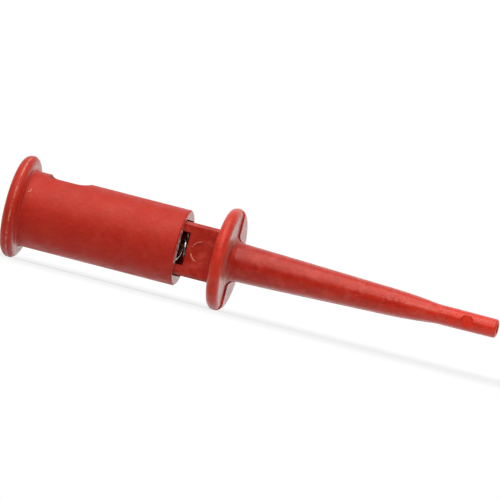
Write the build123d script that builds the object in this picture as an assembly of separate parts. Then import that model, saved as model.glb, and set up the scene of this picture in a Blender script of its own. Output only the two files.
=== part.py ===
from build123d import *
import math
import os

# Plunger-type test clip, all lengths in millimetres and all angles in degrees.
# The X axis runs along the clip from the rear thumb face to the nose tip,
# +Z is the side with the solder window, and the flats of the stem face +Y and -Y.

# Both flanges and the travel between them
flange_diameter = 9.9
plunger_stroke = 3.5
stroke_end_gap = 0.15

# Plunger sleeve, outside
thumb_flange_thickness = 1.35
sleeve_diameter = 7.35
sleeve_length = 16.9
sleeve_root_fillet = 0.3
mouth_edge_chamfer = 0.12

# Plunger sleeve, inside
wire_entry_diameter = 2.0
wire_entry_lead_in = 0.3
rear_wall = 2.2
solder_chamber_diameter = 3.4
solder_window_start = 2.8
solder_window_length = 4.1
solder_window_width = 3.0
solder_window_rear_corner = 0.5
solder_window_front_corner = 1.2
keyway_floor = 9.0

# Nose body, outside
finger_flange_thickness = 1.25
parting_step = 0.15
nose_root_diameter = 3.78
nose_root_fillet = 0.7
taper_length = 15.7
taper_end_diameter = 2.58
neck_length = 4.6
neck_blend_radius = 4.0
tip_diameter = 1.8
nose_length = 26.2
tip_edge_radius = 0.25
stem_height = 5.2
stem_depth = 4.4
stem_chamfer = 0.3

# Nose body, rails that slide in the sleeve
stem_clearance = 0.12
stem_window_height = 3.2
stem_window_lead = 0.75
rail_end_gap = 0.3
barb_height = 0.33
barb_length = 1.3
barb_width = 2.0
barb_clearance = 0.06

# Nose body, bores and moulding marks
stem_bore_diameter = 1.7
jaw_bore_diameter = 1.1
jaw_bore_length = 10.0
bore_step_length = 1.2
jaw_mouth_chamfer = 0.1
spring_recess_depth = 0.3
stem_mark_diameter = 2.0
stem_mark_depth = 0.08
stem_mark_setback = 1.45
tip_mark_diameter = 1.2
tip_mark_depth = 0.18
tip_mark_setback = 2.9

# Return spring
spring_diameter = 3.0
spring_wire = 0.3
spring_turns = 7.0
wire_sides = 6

# Solder terminal
terminal_flange_diameter = 3.8
terminal_flange_thickness = 0.8
terminal_shank_diameter = 2.6
terminal_shank_length = 1.2
spigot_diameter = 2.0
spigot_length = 1.4
cup_diameter = 2.1
cup_bore_diameter = 1.5
cup_length = 3.5
cup_bore_depth = 3.0
cup_cutaway_length = 0.9

# Pincers, two mirrored strips
strip_width = 0.5
strip_thickness = 0.2
strip_spacing = 0.4
jaw_length = 2.2
jaw_setback = 0.3
jaw_tip_width = 0.36
claw_thickness = 0.24
claw_gap = 0.06
hinge_clearance = 0.02
strip_anchor_depth = 0.8

# Places worked out from the sizes above
finger_flange_rear = sleeve_length + plunger_stroke + stroke_end_gap
finger_flange_front = finger_flange_rear + finger_flange_thickness
nose_tip = finger_flange_front + nose_length
taper_end_x = finger_flange_front + taper_length
stem_window_front = sleeve_length + stem_window_lead
rail_rear = keyway_floor + plunger_stroke + rail_end_gap
keyway_height = stem_height + 2 * stem_clearance
keyway_depth = stem_depth + 2 * stem_clearance
spring_front = stem_window_front + spring_recess_depth
terminal_flange_rear = keyway_floor - terminal_flange_thickness
terminal_shank_rear = terminal_flange_rear - terminal_shank_length
strip_centre = (strip_spacing + strip_thickness) / 2
jaw_tip = nose_tip - jaw_setback
jaw_pivot = jaw_tip - jaw_length


def rod(diameter, start, end):
    """Round bar along X."""
    disc = Plane.YZ.offset(start) * Circle(diameter / 2)
    return extrude(disc, amount=end - start)


def bar(depth, height, start, end, centre_z=0.0, chamfer_size=0.0):
    """Rectangular bar along X, with chamfered long edges if a chamfer is given."""
    section = Plane.YZ.offset(start) * Pos(0, centre_z) * Rectangle(depth, height)
    if chamfer_size > 0:
        section = chamfer(section.vertices(), chamfer_size)
    return extrude(section, amount=end - start)


def turned(outline):
    """Solid turned about X from a closed outline in the XY plane."""
    return revolve(make_face(outline), axis=Axis.X)


def full_round_rim(rear, front, rim_radius):
    """Half-round edge of a flange, from its rear face to its front face."""
    round_radius = (front - rear) / 2
    return ThreePointArc(
        (rear, rim_radius - round_radius),
        (rear + round_radius, rim_radius),
        (front, rim_radius - round_radius),
    )


def corner_arc(start, end, centre, radius):
    """Quarter round between two points, bulging away from its centre."""
    middle_x = (start[0] + end[0]) / 2 - centre[0]
    middle_y = (start[1] + end[1]) / 2 - centre[1]
    stretch = radius / math.hypot(middle_x, middle_y)
    return ThreePointArc(start, (centre[0] + middle_x * stretch, centre[1] + middle_y * stretch), end)


def sleeve_outside():
    """Thumb flange with a full-round rim, and the round tube ahead of it."""
    rim = flange_diameter / 2
    tube = sleeve_diameter / 2
    flange_front = thumb_flange_thickness
    rim_face = rim - thumb_flange_thickness / 2
    root = sleeve_root_fillet
    mouth_start = (sleeve_length - mouth_edge_chamfer, tube)
    mouth_end = (sleeve_length, tube - mouth_edge_chamfer)
    outline = [
        Line((0, 0), (0, rim_face)),
        full_round_rim(0, flange_front, rim),
        Line((flange_front, rim_face), (flange_front, tube + root)),
        corner_arc(
            (flange_front, tube + root),
            (flange_front + root, tube),
            (flange_front + root, tube + root),
            root,
        ),
        Line((flange_front + root, tube), mouth_start),
        Line(mouth_start, mouth_end),
        Line(mouth_end, (sleeve_length, 0)),
        Line((sleeve_length, 0), (0, 0)),
    ]
    return turned(outline)


def wire_entry_cut():
    """Wire hole through the rear wall, with a conical lead-in at the thumb face."""
    hole = rod(wire_entry_diameter, 0, rear_wall)
    lead_in = Plane.YZ * Pos(0, 0, wire_entry_lead_in / 2) * Cone(
        wire_entry_diameter / 2 + wire_entry_lead_in,
        wire_entry_diameter / 2,
        wire_entry_lead_in,
    )
    return hole + lead_in


def solder_window_cut():
    """Opening over the solder cup, cut in from +Z, with tight corners behind and wide ones ahead."""
    middle = solder_window_start + solder_window_length / 2
    opening = Pos(middle, 0) * Rectangle(solder_window_length, solder_window_width)
    corners = opening.vertices().sort_by(Axis.X)
    opening = fillet(corners[:2], solder_window_rear_corner)
    corners = opening.vertices().sort_by(Axis.X)
    opening = fillet(corners[-2:], solder_window_front_corner)
    return extrude(opening, amount=sleeve_diameter)


def keyway_cut():
    """Chamfered rectangular bore for the stem, with one barb channel above and one below."""
    bore = bar(keyway_depth, keyway_height, keyway_floor, sleeve_length, 0, stem_chamfer)
    barb_shoulder = rail_rear + barb_length + barb_clearance
    channel_height = keyway_height + 2 * barb_height
    channel_width = barb_width + 2 * barb_clearance
    channel = bar(channel_width, channel_height, keyway_floor, barb_shoulder)
    return bore + channel


def plunger_sleeve():
    body = sleeve_outside()
    body -= wire_entry_cut()
    body -= rod(solder_chamber_diameter, rear_wall, terminal_shank_rear)
    body -= rod(terminal_shank_diameter, terminal_shank_rear, terminal_flange_rear)
    body -= rod(terminal_flange_diameter, terminal_flange_rear, keyway_floor)
    body -= keyway_cut()
    body -= solder_window_cut()
    return body


def nose_half(flange_front, start_angle):
    """Half of the turned nose and finger flange, on one side of the parting plane."""
    rim = flange_diameter / 2
    rim_face = rim - (flange_front - finger_flange_rear) / 2
    root = nose_root_diameter / 2
    bend = nose_root_fillet
    taper_end = (taper_end_x, taper_end_diameter / 2)
    neck_end = (taper_end[0] + neck_length, tip_diameter / 2)
    edge_start = (nose_tip - tip_edge_radius, tip_diameter / 2)
    edge_end = (nose_tip, tip_diameter / 2 - tip_edge_radius)
    taper_slope = (root - taper_end[1]) / taper_length
    bend_end = (flange_front + bend, root - taper_slope * (flange_front + bend - finger_flange_front))
    outline = [
        Line((finger_flange_rear, 0), (finger_flange_rear, rim_face)),
        full_round_rim(finger_flange_rear, flange_front, rim),
        Line((flange_front, rim_face), (flange_front, bend_end[1] + bend)),
        corner_arc(
            (flange_front, bend_end[1] + bend),
            bend_end,
            (flange_front + bend, bend_end[1] + bend),
            bend,
        ),
        Line(bend_end, taper_end),
        TangentArc(taper_end, neck_end, tangent=(1, -taper_slope)),
        Line(neck_end, edge_start),
        corner_arc(edge_start, edge_end, (edge_start[0], edge_end[1]), tip_edge_radius),
        Line(edge_end, (nose_tip, 0)),
        Line((nose_tip, 0), (finger_flange_rear, 0)),
    ]
    profile = make_face(outline)
    neck_corner = profile.vertices().sort_by_distance(neck_end)[0]
    profile = fillet(neck_corner, neck_blend_radius)
    half = revolve(profile, axis=Axis.X, revolution_arc=180)
    return Rot(start_angle, 0, 0) * half


def stem_solid():
    """Chamfered stem, split behind its front wall into an upper and a lower rail."""
    stem = bar(stem_depth, stem_height, rail_rear, finger_flange_front, 0, stem_chamfer)
    return stem - bar(2 * stem_depth, stem_window_height, rail_rear, stem_window_front)


def barb(side):
    """Snap barb at the rear of a rail; side is 1 above and -1 below."""
    foot = side * (stem_height / 2 - barb_height)
    flat = side * stem_height / 2
    crest = side * (stem_height / 2 + barb_height)
    shoulder = rail_rear + barb_length
    wedge = Polyline(
        (rail_rear, foot),
        (rail_rear, flat),
        (shoulder - barb_length / 3, crest),
        (shoulder, crest),
        (shoulder, foot),
        close=True,
    )
    section = Plane.XZ.offset(-barb_width / 2) * make_face(wedge)
    return extrude(section, amount=barb_width)


def nose_bore_cut():
    """Stepped bore for the pincers, from the spring seat to the mouth in the tip."""
    stem_bore = stem_bore_diameter / 2
    jaw_bore = jaw_bore_diameter / 2
    jaw_bore_rear = nose_tip - jaw_bore_length
    outline = Polyline(
        (stem_window_front, 0),
        (stem_window_front, stem_bore),
        (jaw_bore_rear - bore_step_length, stem_bore),
        (jaw_bore_rear, jaw_bore),
        (nose_tip - jaw_mouth_chamfer, jaw_bore),
        (nose_tip, jaw_bore + jaw_mouth_chamfer),
        (nose_tip, 0),
        close=True,
    )
    return turned(outline)


def round_mark(diameter, depth, centre_x, surface_y):
    """Shallow round ejector mark, sunk into the -Y side of a surface."""
    disc = Plane.XZ.offset(-surface_y - depth) * Pos(centre_x, 0) * Circle(diameter / 2)
    return extrude(disc, amount=depth + diameter)


def nose_body():
    near_half = nose_half(finger_flange_front, 90)
    far_half = nose_half(finger_flange_front + parting_step, -90)
    body = near_half + far_half + stem_solid()
    for side in (1, -1):
        body += barb(side)
    body -= rod(stem_window_height, stem_window_front, spring_front)
    body -= nose_bore_cut()
    stem_mark_x = finger_flange_rear - stem_mark_setback
    body -= round_mark(stem_mark_diameter, stem_mark_depth, stem_mark_x, -stem_depth / 2)
    tip_mark_x = nose_tip - tip_mark_setback
    body -= round_mark(tip_mark_diameter, tip_mark_depth, tip_mark_x, -tip_diameter / 2)
    return body


def return_spring():
    """Open-coil compression spring from the terminal flange to the recess in the stem.

    The wire has flat sides, which are too narrow to see at its real size.
    """
    coil_radius = (spring_diameter - spring_wire) / 2
    coil_height = spring_front - keyway_floor - spring_wire
    pitch = coil_height / spring_turns
    path = Helix(pitch=pitch, height=coil_height, radius=coil_radius)
    section = Plane(origin=path @ 0, z_dir=path % 0) * RegularPolygon(spring_wire / 2, wire_sides)
    coil = sweep(section, path=path, is_frenet=True)
    return Pos(keyway_floor + spring_wire / 2, 0, 0) * Rot(0, 90, 0) * coil


def solder_terminal():
    """Turned brass terminal: solder cup, press shank, spring flange and slotted spigot."""
    cup_rear = terminal_shank_rear - cup_length
    body = rod(cup_diameter, cup_rear, terminal_shank_rear)
    body += rod(terminal_shank_diameter, terminal_shank_rear, terminal_flange_rear)
    body += rod(terminal_flange_diameter, terminal_flange_rear, keyway_floor)
    body += rod(spigot_diameter, keyway_floor, keyway_floor + spigot_length)
    body -= rod(cup_bore_diameter, cup_rear, cup_rear + cup_bore_depth)
    cutaway_end = cup_rear + cup_cutaway_length
    body -= bar(cup_diameter, cup_diameter, cup_rear, cutaway_end, cup_diameter / 2)
    for side in (1, -1):
        body -= bar(
            strip_width,
            strip_thickness,
            keyway_floor - strip_anchor_depth,
            keyway_floor + spigot_length,
            side * strip_centre,
        )
    return body


def pincer_shank(side):
    """Straight strip of one pincer, from its slot in the terminal to the bend at the jaw."""
    rear = keyway_floor - strip_anchor_depth
    front = jaw_pivot - strip_thickness / 2 - hinge_clearance
    return bar(strip_width, strip_thickness, rear, front, side * strip_centre)


def jaw(side):
    """Front end of one pincer, rounded at the bend and turned inwards into a claw."""
    inner = strip_centre - strip_thickness / 2
    outer = strip_centre + strip_thickness / 2
    claw_end = claw_gap / 2
    claw_rear = jaw_tip - claw_thickness
    profile = [
        ThreePointArc(
            (jaw_pivot, inner),
            (jaw_pivot - strip_thickness / 2, strip_centre),
            (jaw_pivot, outer),
        ),
        Line((jaw_pivot, outer), (jaw_tip - claw_thickness / 2, outer)),
        Line((jaw_tip - claw_thickness / 2, outer), (jaw_tip, outer - claw_thickness / 2)),
        Line((jaw_tip, outer - claw_thickness / 2), (jaw_tip, claw_end)),
        Line((jaw_tip, claw_end), (claw_rear, claw_end)),
        Line((claw_rear, claw_end), (claw_rear, inner)),
        Line((claw_rear, inner), (jaw_pivot, inner)),
    ]
    strip = extrude(Plane.XZ * make_face(profile), amount=strip_width / 2, both=True)
    plan = Polyline(
        (jaw_pivot - strip_thickness, -strip_width / 2),
        (jaw_pivot + strip_thickness, -strip_width / 2),
        (jaw_tip, -jaw_tip_width / 2),
        (jaw_tip, jaw_tip_width / 2),
        (jaw_pivot + strip_thickness, strip_width / 2),
        (jaw_pivot - strip_thickness, strip_width / 2),
        close=True,
    )
    upper_jaw = strip & extrude(make_face(plan), amount=2 * outer)
    return upper_jaw if side > 0 else mirror(upper_jaw, about=Plane.XY)


def main():
    os.makedirs("parts", exist_ok=True)
    nodes = {
        "nose_body": nose_body(),
        "plunger_sleeve": plunger_sleeve(),
        "return_spring": return_spring(),
        "solder_terminal": solder_terminal(),
        "upper_pincer_shank": pincer_shank(1),
        "lower_pincer_shank": pincer_shank(-1),
        "upper_jaw": jaw(1),
        "lower_jaw": jaw(-1),
    }
    for name, shape in nodes.items():
        export_step(shape, f"parts/{name}.step")


main()
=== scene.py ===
import math

import bmesh
import bpy
from mathutils import Matrix, Vector
from mathutils.bvhtree import BVHTree


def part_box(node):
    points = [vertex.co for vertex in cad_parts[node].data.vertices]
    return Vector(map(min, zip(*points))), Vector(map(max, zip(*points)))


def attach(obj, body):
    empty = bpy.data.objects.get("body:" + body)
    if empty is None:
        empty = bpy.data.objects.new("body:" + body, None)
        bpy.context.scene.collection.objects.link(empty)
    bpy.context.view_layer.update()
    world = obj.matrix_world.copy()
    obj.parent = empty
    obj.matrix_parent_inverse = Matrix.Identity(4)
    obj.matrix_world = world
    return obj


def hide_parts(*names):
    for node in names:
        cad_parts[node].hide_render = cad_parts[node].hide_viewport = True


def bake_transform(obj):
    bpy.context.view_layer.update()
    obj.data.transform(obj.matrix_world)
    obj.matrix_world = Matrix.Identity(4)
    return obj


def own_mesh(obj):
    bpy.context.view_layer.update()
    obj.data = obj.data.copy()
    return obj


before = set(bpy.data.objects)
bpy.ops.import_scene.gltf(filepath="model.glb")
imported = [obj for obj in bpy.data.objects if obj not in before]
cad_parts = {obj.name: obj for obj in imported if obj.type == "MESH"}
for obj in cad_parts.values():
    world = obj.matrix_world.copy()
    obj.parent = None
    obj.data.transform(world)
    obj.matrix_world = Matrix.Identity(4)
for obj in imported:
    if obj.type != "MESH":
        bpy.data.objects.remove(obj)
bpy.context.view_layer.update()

# Plunger test clip. Lengths are in metres, and MM turns millimetres into them. +X runs along the clip
# from the thumb face to the nose tip, and +Z is the side with the solder window.
MM = 0.001

# Camera, with its angle measured from the ellipses of the flanges in the photograph
CAMERA_AZIMUTH = math.radians(10.0)
CAMERA_ELEVATION = math.radians(0.0)
CAMERA_ROLL = math.radians(14.44)
CAMERA_DISTANCE = 700 * MM
CAMERA_LENS = 531.7
CAMERA_AIM = Vector((23.19, 0.0, 1.41)) * MM
CAMERA_NEAR = 1 * MM
CAMERA_FAR = 20.0

# Room: light that it sheds, and levels that the clip mirrors in it, where 1 shows colours as written
AMBIENT_LEVEL = 0.36
ROOM_LEVEL = 0.10
BACKDROP_LEVEL = 1.0
OVERHEAD_LEVEL = 0.8
FLOOR_MIRROR_LEVEL = 1.4

# Where the mirrored room turns bright: a direction's share towards the backdrop, and its share upwards
BACKDROP_START_END = (-0.10, 0.50)
OVERHEAD_START_END = (0.25, 0.60)

# Softboxes: name, place, size and level at the clip
SOFTBOXES = (
    ("key_softbox", (0.00, -0.17, 0.36), 0.42, 0.78),
    ("fill_softbox", (0.10, -0.42, 0.28), 0.12, 0.12),
    ("glint_lamp", (0.03, -0.26, 0.10), 0.022, 0.05),
)

# Floor: its grey to the eye and to the light it sends back up, and how far it lies out from the clip
FLOOR_GREY = 0.72
FLOOR_BOUNCE_GREY = 0.54
FLOOR_ROUGHNESS = 0.9
FLOOR_REACH = 3.0

# The floor shows light and shadow in a patch round the clip, drawn out along it, and is plain white beyond
FLOOR_LIT_RADIUS = 24 * MM
FLOOR_WHITE_RADIUS = 60 * MM
FLOOR_NEAR_WHITE = 0.68
FLOOR_PATCH_SQUEEZE = 0.6
FLOOR_MIRROR_START_Y = -14 * MM

# Nylon colours, linear
SLEEVE_RED = (0.50, 0.010, 0.001)
SLEEVE_RED_PALE = (0.56, 0.018, 0.003)
# Nose red, darkened as painted shade on the stem where the flange and sleeve shade it
NOSE_RED_WITH_PAINTED_SHADE = (0.40, 0.007, 0.001)
NOSE_RED_PALE = (0.46, 0.013, 0.003)
# Painted light: lighter reds for the nose's neck, its tip and its flange rim
THIN_WALL_PAINTED_LIGHT_RED = (0.66, 0.022, 0.007)
TIP_PAINTED_LIGHT_RED = (0.82, 0.036, 0.014)
FLANGE_PAINTED_LIGHT_RED = (0.69, 0.030, 0.010)
LIGHT_RED = (0.64, 0.038, 0.014)
BLOOM_RED = (0.66, 0.070, 0.045)
WEAR_PINK = (0.74, 0.20, 0.13)
DARK_RED_SHARE = 0.80

# Painted light: where the nose is painted lighter from its shaded stem towards its thin tip, and where its
# flange is painted lighter towards the rim
THIN_WALL_START_END = (19 * MM, 42 * MM)
TIP_START_END = (38 * MM, 46 * MM)
FLANGE_START_END = (3.3 * MM, 4.4 * MM)

# Clouds, mottle, bloom and scuffs in the nylon: size, noise values where each fades in, and how strong it is
CLOUD_SIZE = 2.2 * MM
CLOUD_START_END = (0.30, 0.72)
MOTTLE_DRAWN_OUT = 0.6
MOTTLE_DARK_START_END = (0.34, 0.56)
MOTTLE_LIGHT_START_END = (0.54, 0.78)
MOTTLE_STRENGTH = 0.38
BLOOM_SIZE = 1.3 * MM
BLOOM_START_END = (0.50, 0.64)
SPECK_SIZE = 0.30 * MM
SPECK_START_END = (0.60, 0.72)
SCUFF_SIZE = 0.30 * MM
SCUFF_DRAWN_OUT = 1 / 3
SCUFF_START_END = (0.56, 0.70)
SCUFF_STRENGTH = 0.6

# Noise values between which any material goes from its shinier to its duller patches
SHINE_START_END = (0.3, 0.7)

# Surface of the nylon: shinier and duller patches, waves from cooling, and softened edges
PATCH_SIZE = 1.1 * MM
PATCH_SHINIER = 0.08
PATCH_DULLER = 0.10
WAVE_SIZE = 0.9 * MM
NYLON_EDGE_RADIUS = 0.06 * MM
EDGE_SAMPLES = 6
THIN_WALL_ROUGHNESS = 0.24

# Smoother end faces, found by how squarely they face along the clip, but not inside the solder window
END_FACE_ROUGHNESS = 0.24
END_FACE_START_END = (0.70, 0.95)
WINDOW_MIDDLE_X = 5.5 * MM
WINDOW_START_END = (3.5 * MM, 3.675 * MM)

# How nylon takes light, by the names of the shader's inputs
NYLON_LIGHT = {
    "IOR": 1.53,
    "Specular IOR Level": 0.38,
    "Specular Tint": (1.0, 0.86, 0.76, 1.0),
    "Sheen Weight": 0.25,
    "Sheen Roughness": 0.30,
    "Sheen Tint": (1.0, 0.72, 0.60, 1.0),
    "Subsurface Weight": 0.10,
    "Subsurface Radius": (1.0, 0.25, 0.18),
    "Subsurface Scale": 0.5 * MM,
}

# Nylon on ridges and burrs: size and height of the marks where it is rubbed, and its roughness
RUB_SIZE = 0.8 * MM
RUB_FINE_SIZE = 0.15 * MM
RUB_FINE_START_END = (0.35, 0.75)
RUB_FINE_STRENGTH = 0.5
RUB_ROUGHNESS = (0.35, 0.55)
RUB_HEIGHT = 0.01 * MM

# Metal: patches of tarnish, and scratches along the clip
TARNISH_SIZE = 0.9 * MM
TARNISH_START_END = (0.4, 0.7)
TARNISH_DULLER = 0.15
SCRATCH_DRAWN_OUT = 0.2
SCRATCH_HEIGHT = 0.004 * MM
SCRATCH_STRENGTH = 0.6

# Angles between faces from which an edge stays sharp, or is softened on a strip
SHARP_ANGLE = math.radians(40)
STRIP_SHARP_ANGLE = math.radians(30)

# Return spring: wire, closed turns at each end, open turns between them, and turns over which one kind passes
# into the other
SPRING_WIRE = 0.3 * MM
CLOSED_TURNS = 1.5
OPEN_TURNS = 5.0
CHANGE_TURNS = 0.3
CLOSED_PITCH = 1.02 * SPRING_WIRE
WIRE_SIDES = 14
STEPS_PER_TURN = 40

# Pincer strips: bend zone each side of the jaw's hinge, share of width left at the claw, and softened edges
STRIP_THICKNESS = 0.2 * MM
BEND_HALF_LENGTH = 0.9 * MM
CLAW_THICKNESS = 0.24 * MM
CLAW_WIDTH_SHARE = 0.72
STRIP_EDGE = 0.03 * MM
STRIP_EDGE_SEGMENTS = 2
SHANK_STEPS = 12
BEND_STEPS = 36

# Ridges of any kind: points round each one, its share of full size at an open end and the growth of that
# share along its length, and how far out the rays start that find the surface under it
RIDGE_SIDES = 8
RIDGE_END_SHARE = 0.15
RIDGE_GROWTH = 6.0
RAY_START = 20 * MM

# Parting ridges along the nose and round the rim of the thumb flange
NOSE_RIDGE_WIDTH = 0.09 * MM
NOSE_RIDGE_HEIGHT = 0.025 * MM
NOSE_RIDGE_START = 23.0 * MM
NOSE_RIDGE_END_SETBACK = 0.35 * MM
NOSE_RIDGE_STEPS = 60
RIM_RIDGE_WIDTH = 0.20 * MM
RIM_RIDGE_HEIGHT = 0.04 * MM
RIM_RIDGE_SETBACK = 0.80 * MM
RIM_RIDGE_STEPS = 144

# Full size of the nick's strokes and of the burrs
BURR_WIDTH = 0.16 * MM
BURR_HEIGHT = 0.07 * MM

# Nick at the sleeve's root: the ends of its two strokes, as X and Z in millimetres
NICK_STEPS = 8
NICK_STROKES = {
    "across": ((1.60, 1.52), (1.92, 1.60)),
    "upright": ((1.92, 1.60), (1.88, 1.90)),
}

# Burrs round the ejector mark on the stem: first and last angle in degrees, and share of full size
STEM_MARK_CENTRE_X = 19.1 * MM
STEM_MARK_RADIUS = 1.0 * MM
STEM_BURR_STEPS = 24
STEM_BURRS = {"lower": (195, 250, 1.0), "upper": (95, 165, 0.6)}

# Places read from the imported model
sleeve_low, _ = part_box("plunger_sleeve")
nose_low, nose_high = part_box("nose_body")
spring_low, spring_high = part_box("return_spring")
floor_height = min(sleeve_low.z, nose_low.z)
clip_middle = (nose_high.x / 2, 0.0, 0.0)


class NodeMaker:
    """Short calls for building a node tree. A value is a number, a colour or another node's output."""

    def __init__(self, tree):
        self.tree = tree
        self.tree.nodes.clear()

    def add(self, kind, operation=None):
        """A new node, with its operation set where it has one."""
        node = self.tree.nodes.new(kind)
        if operation:
            node.operation = operation
        return node

    def give(self, socket, value):
        """Link an input to another node's output, or set it to a plain value."""
        if isinstance(value, bpy.types.NodeSocket):
            self.tree.links.new(value, socket)
        else:
            socket.default_value = value

    def calculate(self, operation, first, second=0.0):
        """Result of a Math node, of which some operations use the first value alone."""
        node = self.add("ShaderNodeMath", operation)
        self.give(node.inputs[0], first)
        self.give(node.inputs[1], second)
        return node.outputs[0]

    def away_from(self, number, value):
        """How far a value lies from a number, on either side."""
        return self.calculate("ABSOLUTE", self.calculate("SUBTRACT", value, number))

    def split(self, vector):
        """X, Y and Z of a vector."""
        node = self.add("ShaderNodeSeparateXYZ")
        self.give(node.inputs[0], vector)
        return node.outputs

    def ramp(self, value, start_end, results=(0.0, 1.0)):
        """First result up to the start, second one from the end on, and an even change between them."""
        node = self.add("ShaderNodeMapRange")
        self.give(node.inputs["Value"], value)
        for socket, number in zip(("From Min", "From Max", "To Min", "To Max"), (*start_end, *results)):
            self.give(node.inputs[socket], number)
        return node.outputs["Result"]

    def mix_values(self, factor, first, second):
        """First number at factor 0, second one at factor 1."""
        node = self.add("ShaderNodeMix")
        self.give(node.inputs["Factor"], factor)
        self.give(node.inputs[2], first)
        self.give(node.inputs[3], second)
        return node.outputs[0]

    def mix_colours(self, factor, first, second):
        """First colour at factor 0, second one at factor 1."""
        node = self.add("ShaderNodeMix")
        node.data_type = "RGBA"
        self.give(node.inputs["Factor"], factor)
        for socket, colour in ((node.inputs[6], first), (node.inputs[7], second)):
            self.give(socket, (*colour, 1.0) if isinstance(colour, tuple) else colour)
        return node.outputs[2]

    def mix_shaders(self, factor, first, second):
        """First shader at factor 0, second one at factor 1."""
        node = self.add("ShaderNodeMixShader")
        for socket, value in zip(node.inputs, (factor, first, second)):
            self.give(socket, value)
        return node.outputs[0]

    def seen_straight(self, rays):
        """1 for what the camera sees directly or through something clear."""
        return self.calculate("MAXIMUM", rays["Is Camera Ray"], rays["Is Transmission Ray"])


class MaterialMaker(NodeMaker):
    """A new material with one Principled shader, in the coordinates of the object that wears it."""

    def __init__(self, name):
        self.material = bpy.data.materials.new(name)
        self.material.use_nodes = True
        super().__init__(self.material.node_tree)
        self.output = self.add("ShaderNodeOutputMaterial")
        self.shader = self.add("ShaderNodeBsdfPrincipled")
        self.give(self.output.inputs["Surface"], self.shader.outputs["BSDF"])
        self.place = self.add("ShaderNodeTexCoord").outputs["Object"]

    def set(self, socket, value):
        """Give one of the shader's inputs a value."""
        self.give(self.shader.inputs[socket], value)

    def scaled_place(self, scale):
        """Coordinates of the object with each axis scaled."""
        node = self.add("ShaderNodeMapping")
        self.give(node.inputs["Vector"], self.place)
        self.give(node.inputs["Scale"], scale)
        return node.outputs["Vector"]

    def distance(self, scale):
        """Distance from the object's origin, with each axis scaled first."""
        node = self.add("ShaderNodeVectorMath", "LENGTH")
        self.give(node.inputs[0], self.scaled_place(scale))
        return node.outputs["Value"]

    def noise(self, size, detail, roughness, drawn_out=1.0):
        """Noise with marks of about this size, which are longer along the clip where drawn_out is under 1."""
        node = self.add("ShaderNodeTexNoise")
        self.give(node.inputs["Scale"], 1 / size)
        self.give(node.inputs["Detail"], detail)
        self.give(node.inputs["Roughness"], roughness)
        place = self.place if drawn_out == 1.0 else self.scaled_place((drawn_out, 1.0, 1.0))
        self.give(node.inputs["Vector"], place)
        return node.outputs["Fac"]

    def bump(self, height, distance, strength=1.0, normal=None):
        """Normal of a surface raised by a height from 0 to 1 times a distance, on top of another normal."""
        node = self.add("ShaderNodeBump")
        self.give(node.inputs["Height"], height)
        self.give(node.inputs["Distance"], distance)
        self.give(node.inputs["Strength"], strength)
        if normal is not None:
            self.give(node.inputs["Normal"], normal)
        return node.outputs["Normal"]

    def rounded_edges(self, radius):
        """Normal of a surface whose edges look rounded."""
        node = self.add("ShaderNodeBevel")
        node.samples = EDGE_SAMPLES
        self.give(node.inputs["Radius"], radius)
        return node.outputs["Normal"]

    def end_faces(self, along):
        """1 on flange and mouth faces square to the clip's length, 0 on the rest and in the solder window."""
        facing = self.split(self.add("ShaderNodeTexCoord").outputs["Normal"])["X"]
        square = self.ramp(self.away_from(0.0, facing), END_FACE_START_END)
        outside = self.ramp(self.away_from(WINDOW_MIDDLE_X, along), WINDOW_START_END)
        return self.calculate("MULTIPLY", square, outside)


def nylon_colour(make, along, thinning, red, pale, haze, mottle_size, painted_flange_light):
    """Cloudy red, painted lighter towards the nose's thin tip and on the flange rim as painted light, with
    mottle, bloom and small pale scuffs.
    """
    clouds = make.noise(CLOUD_SIZE, detail=4.0, roughness=0.6)
    mottle = make.noise(mottle_size, detail=3.0, roughness=0.65, drawn_out=MOTTLE_DRAWN_OUT)
    bloom = make.noise(BLOOM_SIZE, detail=5.0, roughness=0.65)
    specks = make.noise(SPECK_SIZE, detail=2.0, roughness=0.7)
    scuffs = make.noise(SCUFF_SIZE, detail=4.0, roughness=0.7, drawn_out=SCUFF_DRAWN_OUT)
    worn = make.calculate("MULTIPLY", make.ramp(specks, SPECK_START_END), make.ramp(scuffs, SCUFF_START_END))
    dark_red = tuple(DARK_RED_SHARE * channel for channel in red)
    # Painted light: lighter towards the nose's neck and tip
    layers = [
        (thinning, THIN_WALL_PAINTED_LIGHT_RED),
        (make.ramp(along, TIP_START_END), TIP_PAINTED_LIGHT_RED),
    ]
    # Painted light on the flange rim
    if painted_flange_light:
        from_axis = make.distance((0.0, 1.0, 1.0))
        layers.append((make.ramp(from_axis, FLANGE_START_END), FLANGE_PAINTED_LIGHT_RED))
    layers += [
        (make.ramp(mottle, MOTTLE_DARK_START_END, (MOTTLE_STRENGTH, 0.0)), dark_red),
        (make.ramp(mottle, MOTTLE_LIGHT_START_END, (0.0, MOTTLE_STRENGTH)), LIGHT_RED),
        (make.ramp(bloom, BLOOM_START_END, (0.0, haze)), BLOOM_RED),
        (make.calculate("MULTIPLY", worn, SCUFF_STRENGTH), WEAR_PINK),
    ]
    colour = make.mix_colours(make.ramp(clouds, CLOUD_START_END), red, pale)
    for share, layer_colour in layers:
        colour = make.mix_colours(share, colour, layer_colour)
    return colour


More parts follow.
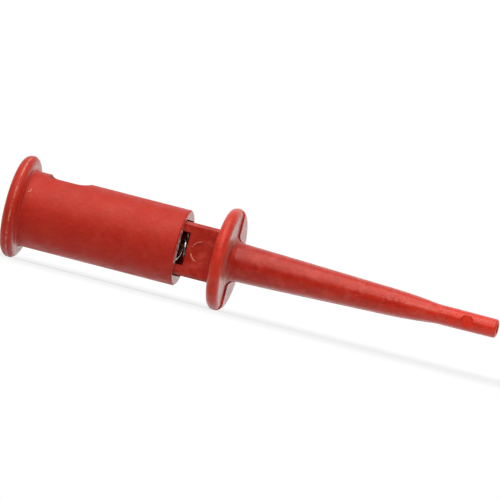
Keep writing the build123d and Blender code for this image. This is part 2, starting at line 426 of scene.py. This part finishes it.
def nylon(
    name, red, pale, haze, roughness, grain_size, grain_height, mottle_size, wave_height, painted_flange_light=False,
):
    """Moulded nylon: cloudy pigment, a patchy shine, fine grain and uneven cooling waves."""
    make = MaterialMaker(name)
    along = make.split(make.place)["X"]
    thinning = make.ramp(along, THIN_WALL_START_END)
    colour = nylon_colour(make, along, thinning, red, pale, haze, mottle_size, painted_flange_light)
    make.set("Base Color", colour)
    patches = make.noise(PATCH_SIZE, detail=3.0, roughness=0.6)
    dullness = make.ramp(patches, SHINE_START_END, (roughness - PATCH_SHINIER, roughness + PATCH_DULLER))
    dullness = make.mix_values(thinning, dullness, THIN_WALL_ROUGHNESS)
    make.set("Roughness", make.mix_values(make.end_faces(along), dullness, END_FACE_ROUGHNESS))
    for socket, value in NYLON_LIGHT.items():
        make.set(socket, value)
    waves = make.noise(WAVE_SIZE, detail=2.0, roughness=0.5)
    grain = make.noise(grain_size, detail=3.0, roughness=0.7)
    rippled = make.bump(waves, wave_height, normal=make.rounded_edges(NYLON_EDGE_RADIUS))
    make.set("Normal", make.bump(grain, grain_height, normal=rippled))
    return make.material


def rubbed_nylon(name, rub_start_end):
    """The same nylon on ridges and burrs, rubbed pale where the noise lies above these values."""
    make = MaterialMaker(name)
    rubbed = make.noise(RUB_SIZE, detail=4.0, roughness=0.7)
    fine = make.noise(RUB_FINE_SIZE, detail=2.0, roughness=0.6)
    colour = make.mix_colours(make.ramp(rubbed, rub_start_end), SLEEVE_RED_PALE, WEAR_PINK)
    red_again = make.ramp(fine, RUB_FINE_START_END, (0.0, RUB_FINE_STRENGTH))
    make.set("Base Color", make.mix_colours(red_again, colour, SLEEVE_RED_PALE))
    make.set("Roughness", make.ramp(rubbed, SHINE_START_END, RUB_ROUGHNESS))
    make.set("Normal", make.bump(fine, RUB_HEIGHT))
    return make.material


def metal(name, colour, dull_colour, roughness, scratch_size):
    """Drawn, turned or plated metal with fine lengthways scratches and a duller tarnish in patches."""
    make = MaterialMaker(name)
    patches = make.noise(TARNISH_SIZE, detail=3.0, roughness=0.6)
    make.set("Base Color", make.mix_colours(make.ramp(patches, TARNISH_START_END), colour, dull_colour))
    make.set("Metallic", 1.0)
    make.set("Roughness", make.ramp(patches, SHINE_START_END, (roughness, roughness + TARNISH_DULLER)))
    scratches = make.noise(scratch_size, detail=2.0, roughness=0.5, drawn_out=SCRATCH_DRAWN_OUT)
    make.set("Normal", make.bump(scratches, SCRATCH_HEIGHT, SCRATCH_STRENGTH))
    return make.material


def dress(node, material):
    """Give a carried-over solid its finish."""
    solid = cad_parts[node]
    solid.data.materials.clear()
    solid.data.materials.append(material)


def new_piece(name, mesh, material):
    """Object for a finished mesh, smooth except where its faces meet sharply."""
    mesh.materials.append(material)
    piece = bpy.data.objects.new(name, mesh)
    bpy.context.scene.collection.objects.link(piece)
    mesh.shade_smooth()
    mesh.set_sharp_from_angle(angle=SHARP_ANGLE)
    return piece


def evenly(first, last, steps):
    """Numbers from first to last with this many equal steps between them."""
    return [first + (last - first) * i / steps for i in range(steps + 1)]


def limited(share):
    """The share, held between 0 and 1."""
    return min(max(share, 0.0), 1.0)


def ring_round(centre, across, upward, sides):
    """Points of an ellipse round a centre, from its two half axes."""
    angles = [math.tau * i / sides for i in range(sides)]
    return [centre + math.cos(angle) * across + math.sin(angle) * upward for angle in angles]


def tube(name, rings, closed=False):
    """Skin over rings of points, capped at both ends unless the rings form a loop."""
    sides = len(rings[0])
    faces = []
    for i in range(len(rings) if closed else len(rings) - 1):
        here, after = i * sides, (i + 1) % len(rings) * sides
        for j in range(sides):
            k = (j + 1) % sides
            faces.append((here + j, here + k, after + k, after + j))
    if not closed:
        faces.append(tuple(range(sides)))
        faces.append(tuple(range((len(rings) - 1) * sides, len(rings) * sides)))
    mesh = bpy.data.meshes.new(name)
    mesh.from_pydata([tuple(point) for ring in rings for point in ring], [], faces)
    build = bmesh.new()
    build.from_mesh(mesh)
    bmesh.ops.recalc_face_normals(build, faces=build.faces)
    build.to_mesh(mesh)
    build.free()
    return mesh


def spring_advance(turn):
    """Share of the open pitch at a place along the spring: none in the closed end turns."""
    from_end = min(turn, 2 * CLOSED_TURNS + OPEN_TURNS - turn)
    share = limited((from_end - CLOSED_TURNS + CHANGE_TURNS / 2) / CHANGE_TURNS)
    return share * share * (3 - 2 * share)


def coil_spring():
    """Round-wire compression spring with closed ends, carried with the plunger."""
    turns = 2 * CLOSED_TURNS + OPEN_TURNS
    steps = round(turns * STEPS_PER_TURN)
    wire_radius = SPRING_WIRE / 2
    coil_radius = spring_high.z - wire_radius
    advances = [spring_advance((i + 0.5) / STEPS_PER_TURN) for i in range(steps)]
    length = spring_high.x - spring_low.x
    open_travel = length - SPRING_WIRE - CLOSED_PITCH * turns
    extra_pitch = open_travel / (sum(advances) / STEPS_PER_TURN)
    rings = []
    x = spring_low.x + wire_radius
    for i in range(steps + 1):
        turn = math.tau * i / STEPS_PER_TURN
        pitch = CLOSED_PITCH + extra_pitch * advances[min(i, steps - 1)]
        outward = Vector((0.0, math.cos(turn), math.sin(turn)))
        forward = Vector((pitch / math.tau, -coil_radius * math.sin(turn), coil_radius * math.cos(turn)))
        sideways = forward.normalized().cross(outward)
        centre = Vector((x, 0.0, 0.0)) + coil_radius * outward
        rings.append(ring_round(centre, wire_radius * outward, wire_radius * sideways, WIRE_SIDES))
        x += pitch / STEPS_PER_TURN
    spring = new_piece("spring_coil", tube("spring_coil", rings), spring_steel)
    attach(spring, "plunger")
    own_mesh(spring)
    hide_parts("return_spring")


def springy_strip(name, side):
    """One pincer as a single strip: straight shank, bend, narrowing jaw and inturned claw."""
    shank_low, shank_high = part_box(f"{name}_pincer_shank")
    jaw_low, jaw_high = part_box(f"{name}_jaw")
    outer = max(abs(shank_low.z), abs(shank_high.z))
    inner = outer - STRIP_THICKNESS
    claw_end = min(abs(jaw_low.z), abs(jaw_high.z))
    hinge_x = jaw_low.x + STRIP_THICKNESS / 2
    bend_x = hinge_x - 2 * BEND_HALF_LENGTH
    tip_x = jaw_high.x
    claw_x = tip_x - CLAW_THICKNESS
    wide = shank_high.y
    narrow = wide * CLAW_WIDTH_SHARE
    build = bmesh.new()

    def corner(x, height, hand):
        """Corner of the strip's section, whose width narrows from the hinge to the tip."""
        half_width = wide + (narrow - wide) * limited((x - hinge_x) / (tip_x - hinge_x))
        return build.verts.new((x, hand * half_width, side * height))

    stations = evenly(shank_low.x, bend_x, SHANK_STEPS) + evenly(bend_x, claw_x, BEND_STEPS)[1:]
    section = ((inner, -1), (outer, -1), (outer, 1), (inner, 1))
    rows = [[corner(x, height, hand) for height, hand in section] for x in stations]
    build.faces.new(rows[0])
    for near, far in zip(rows, rows[1:]):
        for j in range(len(section)):
            k = (j + 1) % len(section)
            build.faces.new((near[j], near[k], far[k], far[j]))
    claw = []
    for hand in (-1, 1):
        claw.append([
            corner(claw_x, claw_end, hand),
            corner(tip_x, claw_end, hand),
            corner(tip_x, outer - CLAW_THICKNESS / 2, hand),
            corner(tip_x - CLAW_THICKNESS / 2, outer, hand),
        ])
    last = rows[-1]
    left = [last[0], *claw[0], last[1]]
    right = [last[3], *claw[1], last[2]]
    build.faces.new(left)
    build.faces.new(right)
    for i in range(len(left) - 1):
        build.faces.new((left[i], left[i + 1], right[i + 1], right[i]))
    bmesh.ops.recalc_face_normals(build, faces=build.faces)
    sharp = [edge for edge in build.edges if edge.calc_face_angle(0.0) > STRIP_SHARP_ANGLE]
    bmesh.ops.bevel(
        build, geom=sharp, offset=STRIP_EDGE, segments=STRIP_EDGE_SEGMENTS, affect="EDGES",
        clamp_overlap=True,
    )
    mesh = bpy.data.meshes.new(f"{name}_pincer")
    build.to_mesh(mesh)
    build.free()
    strip = new_piece(f"{name}_pincer", mesh, pincer_gold)
    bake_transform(strip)
    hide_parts(f"{name}_pincer_shank", f"{name}_jaw")


def surface_of(node):
    """Surface of a carried-over solid, to cast rays at."""
    return BVHTree.FromObject(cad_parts[node], bpy.context.evaluated_depsgraph_get())


def hit(surface, start, direction):
    """Point and outward normal where a ray first meets a solid."""
    point, normal, _, _ = surface.ray_cast(Vector(start), Vector(direction))
    return point, normal


def front_hit(surface, x, z):
    """Point and outward normal on the side that faces the camera."""
    return hit(surface, (x, -RAY_START, z), (0, 1, 0))


def ridge(name, hits, width, height, material, body, closed=False):
    """Low rounded ridge along points on a surface, which tapers out at open ends."""
    rings = []
    count = len(hits)
    for i, (point, normal) in enumerate(hits):
        before = hits[(i - 1) % count][0] if closed or i else point
        after = hits[(i + 1) % count][0] if closed or i < count - 1 else point
        sideways = (after - before).normalized().cross(normal).normalized()
        from_end = min(i, count - 1 - i) / count
        size = 1.0 if closed else limited(RIDGE_END_SHARE + RIDGE_GROWTH * from_end)
        rings.append(ring_round(point, size * width / 2 * sideways, size * height * normal, RIDGE_SIDES))
    piece = new_piece(name, tube(name, rings, closed), material)
    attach(piece, body)


def parting_ridges():
    """Flash where the mould halves met, along the nose and round the thumb flange."""
    nose = surface_of("nose_body")
    sleeve = surface_of("plunger_sleeve")
    places = evenly(NOSE_RIDGE_START, nose_high.x - NOSE_RIDGE_END_SETBACK, NOSE_RIDGE_STEPS)
    for name, up in (("top", 1), ("bottom", -1)):
        hits = [hit(nose, (x, 0, up * RAY_START), (0, 0, -up)) for x in places]
        ridge(
            f"nose_parting_ridge_{name}", hits, NOSE_RIDGE_WIDTH, NOSE_RIDGE_HEIGHT, ridge_red,
            "nose",
        )
    rim_centre = Vector((sleeve_low.x + RIM_RIDGE_SETBACK, 0, 0))
    hits = []
    for i in range(RIM_RIDGE_STEPS):
        angle = math.tau * i / RIM_RIDGE_STEPS
        outward = Vector((0.0, math.cos(angle), math.sin(angle)))
        hits.append(hit(sleeve, rim_centre + RAY_START * outward, -outward))
    ridge(
        "thumb_flange_ridge", hits, RIM_RIDGE_WIDTH, RIM_RIDGE_HEIGHT, ridge_red,
        "plunger", closed=True,
    )


def nick_and_burrs():
    """Nick at the sleeve's root, and burrs round the ejector mark on the stem."""
    sleeve = surface_of("plunger_sleeve")
    for name, ((first_x, first_z), (last_x, last_z)) in NICK_STROKES.items():
        places = zip(evenly(first_x, last_x, NICK_STEPS), evenly(first_z, last_z, NICK_STEPS))
        hits = [front_hit(sleeve, x * MM, z * MM) for x, z in places]
        ridge(f"root_nick_{name}", hits, BURR_WIDTH, BURR_HEIGHT, burr_pale, "plunger")
    nose = surface_of("nose_body")
    for name, (first, last, size) in STEM_BURRS.items():
        hits = []
        for degrees in evenly(first, last, STEM_BURR_STEPS):
            angle = math.radians(degrees)
            x = STEM_MARK_CENTRE_X + STEM_MARK_RADIUS * math.cos(angle)
            hits.append(front_hit(nose, x, STEM_MARK_RADIUS * math.sin(angle)))
        ridge(
            f"stem_mark_burr_{name}", hits, size * BURR_WIDTH, size * BURR_HEIGHT, burr_pale,
            "nose",
        )


def pale_floor():
    """Dull pale finish that turns to plain white further out, with a level of its own in mirrors."""
    make = MaterialMaker("pale_floor")
    rays = make.add("ShaderNodeLightPath").outputs
    grey = make.mix_colours(rays["Is Diffuse Ray"], 3 * (FLOOR_GREY,), 3 * (FLOOR_BOUNCE_GREY,))
    make.set("Base Color", grey)
    make.set("Roughness", FLOOR_ROUGHNESS)
    make.set("Specular IOR Level", 0.0)
    out = make.distance((FLOOR_PATCH_SQUEEZE, 1.0, 1.0))
    whiter = make.ramp(out, (FLOOR_LIT_RADIUS, FLOOR_WHITE_RADIUS), (FLOOR_NEAR_WHITE, 1.0))
    whiter = make.calculate("MULTIPLY", whiter, make.seen_straight(rays))
    white = make.add("ShaderNodeEmission")
    lit = make.mix_shaders(whiter, make.shader.outputs["BSDF"], white.outputs[0])
    depth = make.split(make.place)["Y"]
    mirrored = make.add("ShaderNodeEmission")
    brightness = make.ramp(depth, (FLOOR_MIRROR_START_Y, 0.0), (ROOM_LEVEL, FLOOR_MIRROR_LEVEL))
    make.give(mirrored.inputs["Strength"], brightness)
    surface = make.mix_shaders(rays["Is Glossy Ray"], lit, mirrored.outputs[0])
    make.give(make.output.inputs["Surface"], surface)
    return make.material


def studio_floor():
    """Plain floor that holds the clip's shadow and passes into a white backdrop."""
    mesh = bpy.data.meshes.new("studio_floor")
    corners = [(x * FLOOR_REACH, y * FLOOR_REACH, 0.0) for x, y in ((-1, -1), (1, -1), (1, 1), (-1, 1))]
    mesh.from_pydata(corners, [], [(0, 1, 2, 3)])
    mesh.materials.append(pale_floor())
    floor = bpy.data.objects.new("studio_floor", mesh)
    floor.location = (nose_high.x / 2, 0.0, floor_height)
    bpy.context.scene.collection.objects.link(floor)


def white_world():
    """White room: even soft light, a white backdrop, and less to mirror on the camera's side."""
    world = bpy.data.worlds.new("white_room")
    bpy.context.scene.world = world
    world.use_nodes = True
    make = NodeMaker(world.node_tree)
    rays = make.add("ShaderNodeLightPath").outputs
    toward = make.split(make.add("ShaderNodeTexCoord").outputs["Generated"])
    backdrop = make.ramp(toward["Y"], BACKDROP_START_END, (ROOM_LEVEL, BACKDROP_LEVEL))
    overhead = make.ramp(toward["Z"], OVERHEAD_START_END, (ROOM_LEVEL, OVERHEAD_LEVEL))
    mirrored = make.calculate("MAXIMUM", backdrop, overhead)
    level = make.mix_values(rays["Is Glossy Ray"], AMBIENT_LEVEL, mirrored)
    level = make.mix_values(make.seen_straight(rays), level, 1.0)
    sky = make.add("ShaderNodeBackground")
    make.give(sky.inputs["Color"], (1.0, 1.0, 1.0, 1.0))
    make.give(sky.inputs["Strength"], level)
    make.give(make.add("ShaderNodeOutputWorld").inputs["Surface"], sky.outputs[0])


def soft_light(name, place, size, level):
    """Square softbox pointed at the clip's middle, where it gives this share of full light."""
    toward = Vector(clip_middle) - Vector(place)
    lamp = bpy.data.lights.new(name, "AREA")
    lamp.shape = "SQUARE"
    lamp.size = size
    lamp.energy = level * math.pi ** 2 * toward.length_squared
    holder = bpy.data.objects.new(name, lamp)
    holder.location = place
    holder.rotation_euler = toward.to_track_quat("-Z", "Y").to_euler()
    bpy.context.scene.collection.objects.link(holder)


def photo_camera():
    """Camera on the nose side of broadside, rolled as in the photograph."""
    toward = Vector((
        math.sin(CAMERA_AZIMUTH) * math.cos(CAMERA_ELEVATION),
        -math.cos(CAMERA_AZIMUTH) * math.cos(CAMERA_ELEVATION),
        math.sin(CAMERA_ELEVATION),
    ))
    level_right = Vector((0, 0, 1)).cross(toward).normalized()
    level_up = toward.cross(level_right).normalized()
    right = math.cos(CAMERA_ROLL) * level_right + math.sin(CAMERA_ROLL) * level_up
    up = toward.cross(right).normalized()
    data = bpy.data.cameras.new("photo_camera")
    data.lens = CAMERA_LENS
    data.clip_start = CAMERA_NEAR
    data.clip_end = CAMERA_FAR
    camera = bpy.data.objects.new("photo_camera", data)
    turn = Matrix((right, up, toward)).transposed().to_4x4()
    camera.matrix_world = Matrix.Translation(CAMERA_AIM + CAMERA_DISTANCE * toward) @ turn
    bpy.context.scene.collection.objects.link(camera)
    bpy.context.scene.camera = camera


# The nose's red carries painted shade on the stem, and its flange rim gets painted light
nose_nylon = nylon(
    "nose_nylon", NOSE_RED_WITH_PAINTED_SHADE, NOSE_RED_PALE, haze=0.45, roughness=0.36, grain_size=0.22 * MM,
    grain_height=0.010 * MM, mottle_size=0.55 * MM, wave_height=0.05 * MM, painted_flange_light=True,
)
sleeve_nylon = nylon(
    "sleeve_nylon", SLEEVE_RED, SLEEVE_RED_PALE, haze=0.15, roughness=0.52, grain_size=0.20 * MM,
    grain_height=0.022 * MM, mottle_size=0.22 * MM, wave_height=0.02 * MM,
)
ridge_red = rubbed_nylon("ridge_nylon", rub_start_end=(0.46, 0.56))
burr_pale = rubbed_nylon("burr_nylon", rub_start_end=(0.24, 0.40))
spring_steel = metal(
    "spring_steel", colour=(0.78, 0.76, 0.72), dull_colour=(0.58, 0.55, 0.50),
    roughness=0.20, scratch_size=0.05 * MM,
)
terminal_brass = metal(
    "terminal_brass", colour=(0.75, 0.56, 0.26), dull_colour=(0.55, 0.39, 0.18),
    roughness=0.28, scratch_size=0.06 * MM,
)
pincer_gold = metal(
    "pincer_gold", colour=(0.86, 0.62, 0.22), dull_colour=(0.74, 0.50, 0.17),
    roughness=0.20, scratch_size=0.04 * MM,
)

dress("nose_body", nose_nylon)
dress("plunger_sleeve", sleeve_nylon)
dress("solder_terminal", terminal_brass)
coil_spring()
springy_strip("upper", 1)
springy_strip("lower", -1)
parting_ridges()
nick_and_burrs()

bpy.context.scene.view_settings.view_transform = "Standard"
studio_floor()
white_world()
for softbox in SOFTBOXES:
    soft_light(*softbox)
photo_camera()
